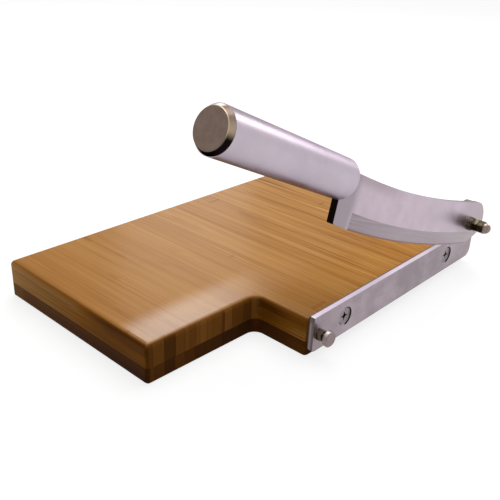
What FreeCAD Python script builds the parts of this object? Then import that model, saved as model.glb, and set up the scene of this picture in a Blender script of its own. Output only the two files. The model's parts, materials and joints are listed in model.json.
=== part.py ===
"""Lever slicer: a bowed single-bevel blade hinged on a rail at the edge of a notched two-layer board.

Frame: X across the board with the rail on the +X edge, Y along the board from the user's end (-Y)
to the pivot end (+Y), Z up. The origin is the centre of the board's underside. Millimetres, degrees.
"""
import FreeCAD, Part
import math
import os
import re

import Sketcher

# ---------------------------------------------------------------------------------------------
# Driving dimensions
# ---------------------------------------------------------------------------------------------
SIZES = {
    # Board: two glued layers with one outline
    "board_width": 214.2,
    "board_length": 326.6,
    "bottom_layer": 12,
    "top_layer": 18,
    "nose_width": 163.5,
    "nose_flare": 3,
    "notch_depth": 99,
    "board_corner": 3,
    "notch_corner": 3.5,
    "notch_fillet": 7.5,
    "top_round": 3.5,
    "bottom_bevel": 1,
    # Rail: a flat bar on the board's edge, with the hinge lug in one piece
    "rail_thickness": 5,
    "rail_height": 27,
    "rail_bottom": 5.8,
    "rail_near_inset": 1,
    "rail_overhang": 2,
    "rail_far_corner": 6.5,
    "rail_near_corner": 1.5,
    "lug_radius": 16.9,
    "lug_fillet": 8,
    "pivot_inset": 20.8,
    "pivot_height": 44.5,
    "lead_in_drop": 6,
    "lead_in_depth": 0.4,
    "end_bevel_run": 2.5,
    # Countersunk screws that hold the rail to the board
    "screw_size": 5,
    "screw_head": 12.2,
    "screw_rim": 0.3,
    "screw_length": 35,
    "screw_point": 6,
    "screw_mouth": 15,
    "screw_near_inset": 37.4,
    "screw_far_inset": 43.3,
    "screw_height": 19.8,
    "recess_span": 6.4,
    "recess_width": 1.3,
    "recess_depth": 2,
    "pilot_spare": 2,
    # Hinge hardware on one bolt
    "pivot_size": 6,
    "pivot_across": 10,
    "pivot_head": 4,
    "washer_outer": 12,
    "washer_thickness": 1.6,
    "spring_outer": 11,
    "spring_thickness": 1.6,
    "spring_slit": 0.8,
    "spacer_outer": 16,
    "spacer_thickness": 0.5,
    "pivot_nut_height": 5,
    "dome_nut_height": 10.5,
    "dome_nut_hex": 5.5,
    "dome_diameter": 9.5,
    "dome_bore": 8,
    "dome_engagement": 6,
    # Stop: the blade's heel lands on the nut, and the head keeps the blade against the rail
    "stop_size": 5,
    "stop_across": 8,
    "stop_nut_height": 4,
    "stop_head": 11.8,
    "stop_head_height": 3.2,
    "stop_head_bevel": 0.8,
    "stop_inset": 7.6,
    "stop_rise": 12,
    # Blade, measured from the pivot: reach towards the user, rise above and drop below
    "rest_angle": 21,
    "blade_thickness": 5,
    "blade_end_radius": 19.4,
    "blade_end_offset": 6.5,
    "spine_rise": 16.9,
    "spine_radius": 951.5,
    "grind_length": 189,
    "edge_drop": 20.9,
    "edge_radius": 975,
    "edge_land": 0.3,
    "grind_width": 12.2,
    "grind_radius": 877,
    "grind_centre": 104,
    "plunge_run": 4.6,
    "ricasso_length": 23.3,
    "heel_drop": 17.9,
    "heel_corner": 1.5,
    "tang_length": 62,
    "tang_drop": 9,
    # Handle tube on the tang, with a slotted plug and an end cap
    "handle_set_back": 2,
    "shoulder_length": 14.3,
    "handle_rise": 10.9,
    "handle_tilt": 3.77,
    "handle_diameter": 26.9,
    "handle_wall": 2,
    "handle_length": 122.5,
    "handle_rim_round": 1.5,
    "handle_rim_shoulder": 0.45,
    "plug_thickness": 6,
    "cap_diameter": 26.3,
    "cap_height": 3.4,
    "cap_taper_width": 1.65,
    "cap_edge_bevel": 0.4,
    "cap_spigot": 12,
    # Clearances: radial in bores and fixed seats, sideways beside the blade
    "pivot_fit": 0.05,
    "fixed_fit": 0.1,
    "seat_gap": 0.05,
    "side_play": 0.1,
    "guide_gap": 1.2,
    "heel_gap": 0.1,
}

# Places that follow from the driving dimensions, each a formula of size names
PLACES = {
    "board_edge": "board_width / 2",
    "board_end": "board_length / 2",
    "nose_tip_edge": "nose_width - board_edge",
    "nose_root_edge": "nose_tip_edge + nose_flare",
    "notch_line": "notch_depth - board_end",
    "rail_top": "rail_bottom + rail_height",
    "rail_near": "notch_line + rail_near_inset",
    "rail_end": "board_end + rail_overhang",
    "rail_face": "board_edge + rail_thickness",
    "lug_along": "rail_end - lug_radius",
    "lug_front": "lug_along - lug_radius",
    "pivot_along": "board_end - pivot_inset",
    "screw_near": "notch_line + screw_near_inset",
    "screw_far": "board_end - screw_far_inset",
    "screw_sink": "(screw_mouth - screw_head) / 2 - screw_rim - seat_gap",
    "blade_face": "rail_face + spacer_thickness + side_play",
    "blade_middle": "blade_face + blade_thickness / 2",
    "outer_stack": "blade_face + blade_thickness + side_play",
    "spring_seat": "outer_stack + washer_thickness",
    "pivot_nut_seat": "spring_seat + spring_thickness",
    "dome_nut_seat": "pivot_nut_seat + pivot_nut_height",
    "head_seat": "board_edge - washer_thickness",
    "pivot_shank": "dome_nut_seat + dome_engagement - head_seat",
    "pivot_bore": "pivot_size / 2 + fixed_fit",
    "thread_bore": "pivot_size / 2 + pivot_fit",
    "stop_bore": "stop_size / 2 + pivot_fit",
    "stop_along": "notch_line + stop_inset",
    "stop_up": "rail_bottom + stop_rise",
    "stop_shank": "rail_thickness + spacer_thickness + side_play + blade_thickness + guide_gap",
    "handle_bore": "handle_diameter / 2 - handle_wall",
    "cap_radius": "cap_diameter / 2",
    "heel_reach": "grind_length + ricasso_length",
    "handle_reach": "heel_reach + handle_set_back",
    "spine_reach": "handle_reach - shoulder_length",
    "tang_rise": "(spine_rise - handle_rise) * cos(handle_tilt) + (handle_reach - spine_reach) * sin(handle_tilt)",
    "land_drop": "edge_land * grind_width / (blade_thickness - edge_land)",
}

# How far a cutting outline runs past the material it cuts
OVERRUN = "10"
# Points nearer to each other than this, in mm, are the same point
CLOSE = 1e-4


def sized(formula):
    """Write a formula of size and place names as an expression that reads the sheet."""
    def expand(match):
        word = match.group(0)
        if word in SIZES:
            return f"Sizes.{word}"
        if word in PLACES:
            return f"({sized(PLACES[word])})"
        return word
    return re.sub(r"[a-z_]+", expand, formula)


doc = FreeCAD.newDocument("lever_slicer")
sheet = doc.addObject("Spreadsheet::Sheet", "Sizes")
for row, (alias, number) in enumerate(SIZES.items(), start=1):
    sheet.set(f"A{row}", alias)
    sheet.set(f"B{row}", str(number))
    sheet.setAlias(f"B{row}", alias)
doc.recompute()


def value(formula):
    """The number a formula has with the sheet as it stands."""
    return float(sheet.evalExpression(sized(formula)))


# ---------------------------------------------------------------------------------------------
# Sketch and feature helpers
# ---------------------------------------------------------------------------------------------
def new_body(label):
    """A body named after its sub-part."""
    body = doc.addObject("PartDesign::Body", label)
    body.Label = label
    return body


def origin_feature(body, role):
    """One of the body's own planes or axes, found by its role."""
    return next(item for item in body.Origin.OriginFeatures if item.Role == role)


def new_sketch(body, name, plane, offset=None):
    """A sketch on one of the body's origin planes, lifted off it by a formula."""
    sketch = body.newObject("Sketcher::SketchObject", name)
    sketch.AttachmentSupport = [(origin_feature(body, plane), "")]
    sketch.MapMode = "FlatFace"
    if offset:
        sketch.setExpression("AttachmentOffset.Base.z", sized(offset))
    doc.recompute()
    return sketch


def pin(sketch, index, end, across, up):
    """Hold a point of a sketch at two formulas from the sketch's origin, or at one if a formula is None."""
    for kind, axis, formula in (("DistanceX", -2, across), ("DistanceY", -1, up)):
        if formula is None:
            continue
        place = value(formula)
        if abs(place) < 1e-9:
            sketch.addConstraint(Sketcher.Constraint("PointOnObject", index, end, axis))
            continue
        row = sketch.addConstraint(Sketcher.Constraint(kind, -1, 1, index, end, place))
        sketch.setExpression(f"Constraints[{row}]", sized(formula))


def set_radius(sketch, index, formula):
    """Hold the radius of a sketch's arc or circle at a formula."""
    row = sketch.addConstraint(Sketcher.Constraint("Radius", index, value(formula)))
    sketch.setExpression(f"Constraints[{row}]", sized(formula))


def point(across, up):
    """A sketch point at two formulas."""
    return FreeCAD.Vector(value(across), value(up), 0)


def arc_between(centre, start, finish):
    """The anticlockwise arc about a centre from one point to another."""
    circle = Part.Circle(centre, FreeCAD.Vector(0, 0, 1), (start - centre).Length)
    return Part.ArcOfCircle(circle, circle.parameter(start), circle.parameter(finish))


def draw_outline(sketch, corners, arcs=None):
    """A closed outline through corners given as pairs of formulas.

    A side whose number is in arcs is an arc about a centre (across, up, clockwise or not); the ends
    hold it with the centre's height.
    """
    arcs = arcs or {}
    spots = [point(across, up) for across, up in corners]
    ends = []
    for side, here in enumerate(spots):
        there = spots[(side + 1) % len(spots)]
        clockwise = side in arcs and arcs[side][2]
        ends.append((2, 1) if clockwise else (1, 2))
        if side not in arcs:
            sketch.addGeometry(Part.LineSegment(here, there), False)
        elif clockwise:
            sketch.addGeometry(arc_between(point(*arcs[side][:2]), there, here), False)
        else:
            sketch.addGeometry(arc_between(point(*arcs[side][:2]), here, there), False)
    first = sketch.GeometryCount - len(corners)
    for side, corner in enumerate(corners):
        following = (side + 1) % len(corners)
        sketch.addConstraint(Sketcher.Constraint(
            "Coincident", first + side, ends[side][1], first + following, ends[following][0]))
        pin(sketch, first + side, ends[side][0], *corner)
    for side, (_, up, _) in arcs.items():
        pin(sketch, first + side, 3, None, up)


def draw_circle(sketch, across, up, radius):
    """A circle at two formulas with a radius formula."""
    circle = Part.Circle(point(across, up), FreeCAD.Vector(0, 0, 1), value(radius))
    index = sketch.addGeometry(circle, False)
    pin(sketch, index, 3, across, up)
    set_radius(sketch, index, radius)
    return index


def draw_hexagon(sketch, across_flats, turn):
    """A hexagon about the sketch's origin, with its first corner turned from the sketch's X axis."""
    corners = []
    for corner in range(6):
        angle = turn + 60 * corner
        corners.append((f"{across_flats} / sqrt(3) * cos({angle})", f"{across_flats} / sqrt(3) * sin({angle})"))
    draw_outline(sketch, corners)


def pad(body, name, sketch, length, backwards=False):
    """A pad of the sketch, as long as the formula."""
    feature = body.newObject("PartDesign::Pad", name)
    feature.Profile = sketch
    feature.Reversed = backwards
    feature.setExpression("Length", sized(length))
    doc.recompute()
    return feature


def cut(body, kind, name, sketch, settings, bindings):
    """A feature that takes material away, checked to have taken some."""
    before = body.Shape.Volume
    feature = body.newObject(kind, name)
    feature.Profile = sketch
    for key, setting in settings.items():
        setattr(feature, key, setting)
    for key, formula in bindings.items():
        feature.setExpression(key, sized(formula))
    doc.recompute()
    if body.Shape.Volume >= before:
        raise RuntimeError(f"{name} cuts nothing")
    return feature


def pocket(body, name, sketch, length=None, backwards=False):
    """A pocket as deep as the formula, or through all both ways."""
    if length is None:
        return cut(body, "PartDesign::Pocket", name, sketch, {"Type": "ThroughAll", "Midplane": True}, {})
    return cut(body, "PartDesign::Pocket", name, sketch, {"Reversed": backwards}, {"Length": length})


def revolve(body, name, sketch, axis="H_Axis"):
    """A full turn of the sketch about one of its axes."""
    feature = body.newObject("PartDesign::Revolution", name)
    feature.Profile = sketch
    feature.ReferenceAxis = (sketch, [axis])
    feature.Angle = 360
    doc.recompute()
    return feature


def edge_names(shape, wanted):
    """The names of the edges of a shape that a test picks."""
    return [f"Edge{number}" for number, edge in enumerate(shape.Edges, start=1) if wanted(edge)]


def line_along_x(across, up):
    """A test for straight edges along X at a place in the YZ plane."""
    place = (value(across), value(up))

    def wanted(edge):
        ends = [vertex.Point for vertex in edge.Vertexes]
        return len(ends) == 2 and all(math.dist((end.y, end.z), place) < CLOSE for end in ends)
    return wanted


def line_along_z(across, up):
    """A test for straight edges along Z at a place in the XY plane."""
    place = (value(across), value(up))

    def wanted(edge):
        ends = [vertex.Point for vertex in edge.Vertexes]
        return len(ends) == 2 and all(math.dist((end.x, end.y), place) < CLOSE for end in ends)
    return wanted


def round_edges(body, name, wanted, radius):
    """A fillet on the picked edges of the body as it stands."""
    feature = body.newObject("PartDesign::Fillet", name)
    base = feature.BaseFeature
    feature.Base = (base, edge_names(base.Shape, wanted))
    feature.setExpression("Radius", sized(radius))
    doc.recompute()
    return feature


def bevel_edges(body, name, wanted, width):
    """A 45 degree bevel on the picked edges of the body as it stands."""
    feature = body.newObject("PartDesign::Chamfer", name)
    base = feature.BaseFeature
    feature.Base = (base, edge_names(base.Shape, wanted))
    feature.setExpression("Size", sized(width))
    doc.recompute()
    return feature


def place(body, across, along, up, turn=None):
    """Put a sub-part at three formulas, raised by an angle formula about the hinge's direction."""
    if turn:
        body.Placement = FreeCAD.Placement(FreeCAD.Vector(), FreeCAD.Rotation(FreeCAD.Vector(-1, 0, 0), value(turn)))
        body.setExpression("Placement.Rotation.Angle", sized(turn))
    for key, formula in (("x", across), ("y", along), ("z", up)):
        body.setExpression(f"Placement.Base.{key}", sized(formula))
    doc.recompute()


# ---------------------------------------------------------------------------------------------
# Board
# ---------------------------------------------------------------------------------------------
BOARD_OUTLINE = [
    ("-board_edge", "-board_end"),
    ("nose_tip_edge", "-board_end"),
    ("nose_root_edge", "notch_line"),
    ("board_edge", "notch_line"),
    ("board_edge", "board_end"),
    ("-board_edge", "board_end"),
]


def board_layer(label, thickness):
    """One layer of the board: the notched outline with its corners rounded in plan."""
    body = new_body(label)
    outline = new_sketch(body, f"{label}_outline", "XY_Plane")
    draw_outline(outline, BOARD_OUTLINE)
    pad(body, f"{label}_pad", outline, thickness)
    square = [BOARD_OUTLINE[number] for number in (0, 1, 4, 5)]
    tests = [line_along_z(*corner) for corner in square]
    round_edges(body, f"{label}_corners", lambda edge: any(test(edge) for test in tests), "board_corner")
    round_edges(body, f"{label}_notch_fillet", line_along_z(*BOARD_OUTLINE[2]), "notch_fillet")
    round_edges(body, f"{label}_notch_corner", line_along_z(*BOARD_OUTLINE[3]), "notch_corner")
    return body


def rim_at(height):
    """A test for edges that lie in a level plane."""
    level = value(height)
    return lambda edge: edge.BoundBox.ZLength < CLOSE and abs(edge.BoundBox.ZMin - level) < CLOSE


bottom = board_layer("board_bottom_layer", "bottom_layer")
bevel_edges(bottom, "bottom_rim", rim_at("0"), "bottom_bevel")
place(bottom, "0", "0", "0")

top = board_layer("board_top_layer", "top_layer")
round_edges(top, "top_rim", rim_at("top_layer"), "top_round")
pilots = new_sketch(top, "pilot_circles", "YZ_Plane", "board_edge")
for along in ("screw_near", "screw_far"):
    draw_circle(pilots, along, "screw_height - bottom_layer", "screw_size / 2 + fixed_fit")
pocket(top, "pilot_holes", pilots, "screw_length - rail_thickness + screw_sink + pilot_spare")
place(top, "0", "0", "bottom_layer")

# ---------------------------------------------------------------------------------------------
# Rail with the hinge lug
# ---------------------------------------------------------------------------------------------
rail = new_body("cutting_rail")
rail_outline = new_sketch(rail, "rail_outline", "YZ_Plane")
RAIL_CORNERS = [
    ("lug_front", "pivot_height"),
    ("lug_front", "rail_top"),
    ("rail_near", "rail_top"),
    ("rail_near", "rail_bottom"),
    ("rail_end", "rail_bottom"),
    ("rail_end", "pivot_height"),
]
LUG_SIDE = len(RAIL_CORNERS) - 1
draw_outline(rail_outline, RAIL_CORNERS, {LUG_SIDE: ("lug_along", "pivot_height", False)})
pad(rail, "rail_pad", rail_outline, "rail_thickness")
round_edges(rail, "lug_fillet_edge", line_along_x("lug_front", "rail_top"), "lug_fillet")
round_edges(rail, "rail_far_round", line_along_x("rail_end", "rail_bottom"), "rail_far_corner")
near_ends = [line_along_x("rail_near", height) for height in ("rail_bottom", "rail_top")]
round_edges(rail, "rail_near_rounds", lambda edge: any(test(edge) for test in near_ends), "rail_near_corner")

# A shallow bevel leads the blade onto the rail, along its top and down its near end
lead_in = new_sketch(rail, "lead_in_profile", "XZ_Plane", "-lug_front + lug_fillet")
draw_outline(lead_in, [
    ("rail_thickness", "rail_top - lead_in_drop"),
    ("rail_thickness + lead_in_depth", "rail_top + lead_in_drop"),
    ("rail_thickness - lead_in_depth", "rail_top + lead_in_drop"),
    ("rail_thickness - lead_in_depth", "rail_top"),
])
pocket(rail, "lead_in_bevel", lead_in, f"lug_front - rail_near + {OVERRUN}", backwards=True)
end_bevel = new_sketch(rail, "end_bevel_profile", "XY_Plane")
draw_outline(end_bevel, [
    ("rail_thickness", "rail_near + end_bevel_run"),
    ("rail_thickness - lead_in_depth", "rail_near"),
    ("rail_thickness - lead_in_depth", f"rail_near - {OVERRUN}"),
    (f"rail_thickness + {OVERRUN}", f"rail_near - {OVERRUN}"),
])
pocket(rail, "end_bevel", end_bevel, "rail_top", backwards=True)

lug_hole = new_sketch(rail, "lug_hole_circle", "YZ_Plane")
draw_circle(lug_hole, "pivot_along", "pivot_height", "pivot_bore")
draw_circle(lug_hole, "stop_along", "stop_up", "stop_bore")
pocket(rail, "bolt_holes", lug_hole)
screw_marks = new_sketch(rail, "screw_marks", "YZ_Plane", "rail_thickness")
for along in ("screw_near", "screw_far"):
    draw_circle(screw_marks, along, "screw_height", "screw_size / 2 + fixed_fit")
doc.recompute()
cut(rail, "PartDesign::Hole", "screw_countersinks", screw_marks,
    {"DepthType": "ThroughAll", "HoleCutType": "Countersink", "HoleCutCustomValues": True,
     "HoleCutCountersinkAngle": 90},
    {"Diameter": "screw_size + 2 * fixed_fit", "HoleCutDiameter": "screw_mouth"})
place(rail, "board_edge", "0", "0")

# ---------------------------------------------------------------------------------------------
# Fasteners: each is turned about its own X axis, which is the bolt's direction
# ---------------------------------------------------------------------------------------------
def turned(label, corners, arcs=None):
    """A turned piece from half its section, with X along its axis."""
    body = new_body(label)
    profile = new_sketch(body, f"{label}_profile", "XY_Plane")
    draw_outline(profile, corners, arcs)
    revolve(body, f"{label}_turn", profile)
    return body


def hex_corner(across):
    """The radius through a hexagon's corners."""
    return f"{across} / sqrt(3)"


def hex_bevel(across):
    """The height of the 30 degree bevel that rounds a hexagon's corners."""
    return f"({across} / sqrt(3) - {across} / 2) * tan(30)"


def cut_flats(body, top, height, across):
    """Six flats, from the plane at the top formula down by the height."""
    flats = new_sketch(body, f"{body.Label}_flats", "YZ_Plane", top)
    draw_hexagon(flats, across, 30)
    draw_circle(flats, "0", "0", across)
    pocket(body, f"{body.Label}_hexagon", flats, height)


def ring(label, bore, outer, thickness):
    """A flat washer."""
    return turned(label, [("0", bore), ("0", outer), (thickness, outer), (thickness, bore)])


def hex_nut(label, across, height, bore):
    """A hexagon nut with its outer face bevelled."""
    body = turned(label, [
        ("0", bore),
        ("0", hex_corner(across)),
        (f"{height} - {hex_bevel(across)}", hex_corner(across)),
        (height, f"{across} / 2"),
        (height, bore),
    ])
    cut_flats(body, height, height, across)
    return body


def on_dome(angle):
    """A place on the dome nut's cap, at an angle in degrees above its foot."""
    middle = "dome_nut_height - dome_diameter / 2"
    return f"{middle} + dome_diameter / 2 * sin({angle})", f"dome_diameter / 2 * cos({angle})"


# Hinge bolt: its head is on the board's side of the lug, and X = 0 is the head's underside
pivot_bolt = turned("pivot_bolt", [
    ("-pivot_head", "0"),
    ("-pivot_head", "pivot_across / 2"),
    (f"-pivot_head + {hex_bevel('pivot_across')}", hex_corner("pivot_across")),
    ("0", hex_corner("pivot_across")),
    ("0", "pivot_size / 2"),
    ("pivot_shank", "pivot_size / 2"),
    ("pivot_shank", "0"),
])
cut_flats(pivot_bolt, "0", "pivot_head", "pivot_across")
place(pivot_bolt, "head_seat", "pivot_along", "pivot_height")

head_washer = ring("pivot_head_washer", "pivot_bore", "washer_outer / 2", "washer_thickness")
place(head_washer, "head_seat", "pivot_along", "pivot_height")

spacer = ring("blade_spacer_washer", "pivot_bore", "spacer_outer / 2", "spacer_thickness")
place(spacer, "rail_face", "pivot_along", "pivot_height")

outer_washer = ring("pivot_outer_washer", "pivot_bore", "washer_outer / 2", "washer_thickness")
place(outer_washer, "outer_stack", "pivot_along", "pivot_height")

spring_washer = ring("pivot_spring_washer", "pivot_bore", "spring_outer / 2", "spring_thickness")
slit = new_sketch(spring_washer, "spring_slit_shape", "XY_Plane")
draw_outline(slit, [
    ("0", "-spring_slit"),
    ("spring_thickness", "0"),
    ("spring_thickness", "spring_slit"),
    ("0", "0"),
])
pocket(spring_washer, "spring_slit_cut", slit, "spring_outer", backwards=True)
place(spring_washer, "spring_seat", "pivot_along", "pivot_height")

pivot_nut = hex_nut("pivot_nut", "pivot_across", "pivot_nut_height", "thread_bore")
place(pivot_nut, "pivot_nut_seat", "pivot_along", "pivot_height")

# Dome nut: a blind-bored hexagon with a half-round cap, turned in three steps
dome_nut = turned("pivot_dome_nut", [
    ("0", "thread_bore"),
    ("0", hex_corner("pivot_across")),
    (f"dome_nut_hex - {hex_bevel('pivot_across')}", hex_corner("pivot_across")),
    ("dome_nut_hex", "dome_diameter / 2"),
    on_dome(0),
    on_dome(30),
    on_dome(60),
    ("dome_nut_height", "0"),
    ("dome_bore", "0"),
    ("dome_bore", "thread_bore"),
])
cut_flats(dome_nut, "dome_nut_hex", "dome_nut_hex", "pivot_across")
place(dome_nut, "dome_nut_seat", "pivot_along", "pivot_height")

# Stop bolt: X = 0 is the rail's inner face, and its low round head lies beyond the blade
stop_bolt = turned("stop_bolt", [
    ("0", "0"),
    ("0", "stop_size / 2"),
    ("stop_shank", "stop_size / 2"),
    ("stop_shank", "stop_head / 2"),
    ("stop_shank + stop_head_height - stop_head_bevel", "stop_head / 2"),
    ("stop_shank + stop_head_height", "stop_head / 2 - stop_head_bevel"),
    ("stop_shank + stop_head_height", "0"),
])
place(stop_bolt, "board_edge", "stop_along", "stop_up")

stop_nut = hex_nut("stop_nut", "stop_across", "stop_nut_height", "stop_bore")
place(stop_nut, "rail_face", "stop_along", "stop_up")

# Rail screws: X = 0 is the rail's outer face, and the second screw repeats the first
CONE_FOOT = "-screw_sink - screw_rim - (screw_head - screw_size) / 2"
screws = turned("rail_screws", [
    ("-screw_sink", "0"),
    ("-screw_sink", "screw_head / 2"),
    ("-screw_sink - screw_rim", "screw_head / 2"),
    (CONE_FOOT, "screw_size / 2"),
    ("-screw_sink - screw_length + screw_point", "screw_size / 2"),
    ("-screw_sink - screw_length", "0"),
])
cross = new_sketch(screws, "recess_cross", "YZ_Plane", "-screw_sink")
ARM = "recess_span / 2"
HALF = "recess_width / 2"
draw_outline(cross, [
    (HALF, HALF), (ARM, HALF), (ARM, f"-{HALF}"), (HALF, f"-{HALF}"),
    (HALF, f"-{ARM}"), (f"-{HALF}", f"-{ARM}"), (f"-{HALF}", f"-{HALF}"), (f"-{ARM}", f"-{HALF}"),
    (f"-{ARM}", HALF), (f"-{HALF}", HALF), (f"-{HALF}", ARM), (HALF, ARM),
])
recess = pocket(screws, "recess_cut", cross, "recess_depth")
pattern = screws.newObject("PartDesign::LinearPattern", "screw_pair")
pattern.Originals = [doc.getObject("rail_screws_turn"), recess]
pattern.Direction = (cross, ["H_Axis"])
pattern.Occurrences = 2
pattern.setExpression("Length", sized("screw_far - screw_near"))
screws.Tip = pattern
place(screws, "rail_face", "screw_near", "screw_height")


# ---------------------------------------------------------------------------------------------
# Blade: drawn with the pivot at the origin and the user's end along -Y, then raised to rest
# ---------------------------------------------------------------------------------------------
def on_handle(along, above):
    """A place in the blade's plane, along the handle's axis from its mouth and above that axis."""
    reach = f"handle_reach + ({along}) * cos(handle_tilt) - ({above}) * sin(handle_tilt)"
    rise = f"handle_rise + ({along}) * sin(handle_tilt) + ({above}) * cos(handle_tilt)"
    return f"-({reach})", rise


def upper_centre(first, first_distance, second, second_distance):
    """The upper of the two points that lie at given distances from two others."""
    gap = second - first
    along = (first_distance**2 - second_distance**2 + gap.Length**2) / (2 * gap.Length)
    height = math.sqrt(first_distance**2 - along**2)
    axis = gap.normalize()
    return first + axis * along + FreeCAD.Vector(-axis.y, axis.x, 0) * height


blade = new_body("blade")
blade_outline = new_sketch(blade, "blade_outline", "YZ_Plane")
spine_foot = ("-spine_reach", "spine_rise")
grind_foot = ("-grind_length", "-edge_drop")
end_middle = point("blade_end_offset", "0")
end_radius = value("blade_end_radius")
spine_bow = value("spine_radius")
edge_bow = value("edge_radius")
spine_centre = upper_centre(point(*spine_foot), spine_bow, end_middle, spine_bow + end_radius)
edge_centre = upper_centre(point(*grind_foot), edge_bow, end_middle, edge_bow - end_radius)
spine_tail = end_middle + (spine_centre - end_middle).normalize() * end_radius
edge_tail = end_middle - (edge_centre - end_middle).normalize() * end_radius

SPINE, END, EDGE = range(3)
blade_outline.addGeometry(arc_between(spine_centre, point(*spine_foot), spine_tail), False)
blade_outline.addGeometry(arc_between(end_middle, edge_tail, spine_tail), False)
blade_outline.addGeometry(arc_between(edge_centre, point(*grind_foot), edge_tail), False)
HEEL = [
    grind_foot,
    ("-heel_reach", "-heel_drop"),
    on_handle("-heel_gap", "-tang_drop"),
    on_handle("tang_length", "-tang_drop"),
    on_handle("tang_length", "tang_rise"),
    spine_foot,
]
for here, there in zip(HEEL, HEEL[1:]):
    blade_outline.addGeometry(Part.LineSegment(point(*here), point(*there)), False)
last = blade_outline.GeometryCount - 1
blade_outline.addConstraint(Sketcher.Constraint("Tangent", SPINE, 2, END, 2))
blade_outline.addConstraint(Sketcher.Constraint("Tangent", EDGE, 2, END, 1))
pin(blade_outline, END, 3, "blade_end_offset", "0")
set_radius(blade_outline, END, "blade_end_radius")
set_radius(blade_outline, SPINE, "spine_radius")
set_radius(blade_outline, EDGE, "edge_radius")
blade_outline.addConstraint(Sketcher.Constraint("Coincident", EDGE, 1, EDGE + 1, 1))
for side in range(EDGE + 1, last):
    blade_outline.addConstraint(Sketcher.Constraint("Coincident", side, 2, side + 1, 1))
blade_outline.addConstraint(Sketcher.Constraint("Coincident", last, 2, SPINE, 1))
for number, corner in enumerate(HEEL[:-1]):
    pin(blade_outline, EDGE + 1 + number, 1, *corner)
pin(blade_outline, SPINE, 1, *spine_foot)
pad(blade, "blade_plate", blade_outline, "blade_thickness")


def grind_section(name, offset, reach, drop, radius):
    """What the grinding takes at one depth: everything below a bowed line from the plunge to past the end."""
    sketch = new_sketch(blade, name, "YZ_Plane", offset)
    floor = f"-blade_end_radius - 2 * {OVERRUN}"
    past_end = f"blade_end_offset + blade_end_radius + {OVERRUN}"
    start = point(f"-({reach})", f"-({drop})")
    bow = value(radius)
    middle = -value("grind_centre")
    centre = FreeCAD.Vector(middle, start.y + math.sqrt(bow**2 - (start.x - middle)**2), 0)
    far = value(past_end)
    finish = FreeCAD.Vector(far, centre.y - math.sqrt(bow**2 - (far - middle)**2), 0)
    low_far = point(past_end, floor)
    low_near = point(f"-({reach})", floor)
    sketch.addGeometry(arc_between(centre, start, finish), False)
    for here, there in ((finish, low_far), (low_far, low_near), (low_near, start)):
        sketch.addGeometry(Part.LineSegment(here, there), False)
    for here, there in ((0, 1), (1, 2), (2, 3)):
        sketch.addConstraint(Sketcher.Constraint("Coincident", here, 2, there, 1))
    sketch.addConstraint(Sketcher.Constraint("Coincident", 3, 2, 0, 1))
    pin(sketch, 0, 1, f"-({reach})", f"-({drop})")
    pin(sketch, 0, 3, "-grind_centre", None)
    pin(sketch, 0, 2, past_end, None)
    pin(sketch, 2, 1, past_end, floor)
    pin(sketch, 3, 1, f"-({reach})", floor)
    set_radius(sketch, 0, radius)
    return sketch


inner_section = grind_section("grind_inner", "0", "grind_length", "edge_drop + land_drop", "edge_radius")
outer_section = grind_section(
    "grind_outer", "blade_thickness", "grind_length + plunge_run", "edge_drop - grind_width", "grind_radius")
cut(blade, "PartDesign::SubtractiveLoft", "single_bevel", inner_section,
    {"Sections": [outer_section], "Ruled": True}, {})
round_edges(blade, "heel_round", line_along_x("-heel_reach", "-heel_drop"), "heel_corner")
hinge_hole = new_sketch(blade, "hinge_hole_circle", "YZ_Plane")
draw_circle(hinge_hole, "0", "0", "thread_bore")
pocket(blade, "hinge_hole", hinge_hole)
place(blade, "blade_face", "pivot_along", "pivot_height", "rest_angle")

# ---------------------------------------------------------------------------------------------
# Handle: each piece is turned about the handle's axis, with its mouth at the origin and -Y outwards
# ---------------------------------------------------------------------------------------------
HANDLE_ALONG = "pivot_along - handle_reach * cos(rest_angle) + handle_rise * sin(rest_angle)"
HANDLE_UP = "pivot_height + handle_reach * sin(rest_angle) + handle_rise * cos(rest_angle)"


def handle_piece(label, corners, arcs=None):
    """A piece turned about the handle's axis."""
    body = new_body(label)
    profile = new_sketch(body, f"{label}_profile", "YZ_Plane")
    draw_outline(profile, corners, arcs)
    revolve(body, f"{label}_turn", profile)
    return body


tube = handle_piece("handle_tube", [
    ("0", "handle_bore"),
    ("0", "handle_diameter / 2 - handle_rim_round"),
    ("-handle_rim_shoulder", "handle_diameter / 2 - handle_rim_shoulder"),
    ("-handle_rim_round", "handle_diameter / 2"),
    ("-handle_length", "handle_diameter / 2"),
    ("-handle_length", "handle_bore"),
])

plug = handle_piece("handle_front_plug", [
    ("0", "0"),
    ("0", "handle_bore - seat_gap"),
    ("-plug_thickness", "handle_bore - seat_gap"),
    ("-plug_thickness", "0"),
])
slot = new_sketch(plug, "tang_slot_shape", "XZ_Plane")
SLOT_SIDE = "(blade_thickness / 2 + seat_gap)"
draw_outline(slot, [
    (f"-{SLOT_SIDE}", "-tang_drop - seat_gap"),
    (SLOT_SIDE, "-tang_drop - seat_gap"),
    (SLOT_SIDE, "tang_rise + seat_gap"),
    (f"-{SLOT_SIDE}", "tang_rise + seat_gap"),
])
pocket(plug, "tang_slot", slot)

CAP_FOOT = "-(handle_length - cap_spigot)"
CAP_BREAK = "-(handle_length + cap_height - cap_edge_bevel)"
CAP_FACE = "-(handle_length + cap_height)"
cap = handle_piece("handle_end_cap", [
    (CAP_FOOT, "0"),
    (CAP_FOOT, "handle_bore - seat_gap"),
    ("-handle_length", "handle_bore - seat_gap"),
    ("-handle_length", "cap_radius"),
    (CAP_BREAK, "cap_radius - cap_taper_width"),
    (CAP_FACE, "cap_radius - cap_taper_width - cap_edge_bevel"),
    (CAP_FACE, "0"),
])
for body in (tube, plug, cap):
    place(body, "blade_middle", HANDLE_ALONG, HANDLE_UP, "rest_angle + handle_tilt")

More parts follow.
